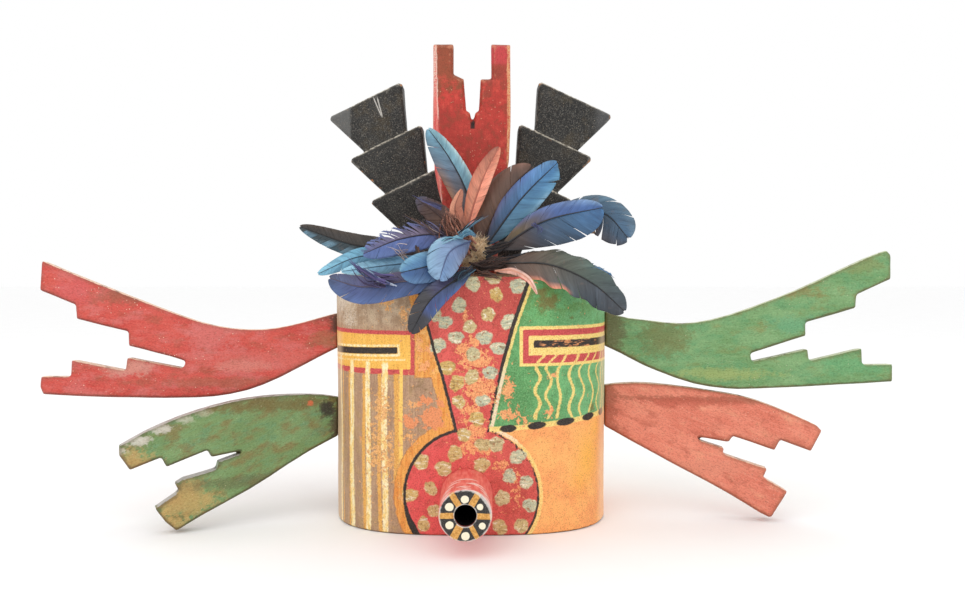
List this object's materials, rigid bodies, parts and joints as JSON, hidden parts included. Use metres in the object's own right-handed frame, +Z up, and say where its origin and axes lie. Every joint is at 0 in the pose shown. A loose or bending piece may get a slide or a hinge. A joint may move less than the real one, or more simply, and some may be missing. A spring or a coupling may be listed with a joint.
{
  "type": "kachina mask",
  "caption": "Painted wooden case mask: an oval hollow drum with a tube snout, notched side wings, a stepped tablet, terraces and a bundle of feathers on top.",
  "frame": {"origin": "middle of the bounding box, on the plane that the drum stands on", "axes": "+Z up, -Y the way the painted face looks, +X to the viewer's right"},
  "size_m": [0.6468, 0.2082, 0.368],
  "materials": {
    "case_paint": "matte painted wood",
    "snout_paint": "matte painted wood",
    "red_paint": "worn painted wood",
    "green_paint": "worn painted wood",
    "worn_green_paint": "worn painted wood",
    "salmon_paint": "worn painted wood, some gloss",
    "tablet_red_paint": "worn painted wood",
    "black_paint": "worn painted wood",
    "down": "soft down",
    "blue_feather": "satin feather",
    "dark_feather": "satin feather",
    "salmon_feather": "satin feather",
    "brown_feather": "satin feather"
  },
  "bodies": {
    "root": {"mask_case": "case_paint", "snout": "snout_paint", "upper_left_wing": "red_paint", "upper_right_wing": "green_paint", "lower_left_wing": "worn_green_paint", "lower_right_wing": "salmon_paint", "tablet": "tablet_red_paint", "left_terrace": "black_paint", "right_terrace": "black_paint", "down_tuft": "down", "feather_sky_upright": "blue_feather", "feather_salmon": "salmon_feather", "feather_blue_broad": "blue_feather", "feather_violet_blue": "blue_feather", "feather_slate_curled": "dark_feather", "feather_dark_arched": "dark_feather", "feather_pink_curl": "salmon_feather", "feather_black_left": "dark_feather", "feather_violet_shaggy": "blue_feather", "feather_sky_outer": "blue_feather", "feather_sky_inner": "blue_feather", "feather_violet_belly": "blue_feather", "feather_mid_blue": "blue_feather", "feather_periwinkle": "blue_feather", "feather_dark_drooping": "blue_feather", "feather_brown_broad": "brown_feather", "feather_brown_small": "brown_feather", "feather_tan_small": "brown_feather", "feather_blue_hidden": "blue_feather"}
  },
  "joints": []
}
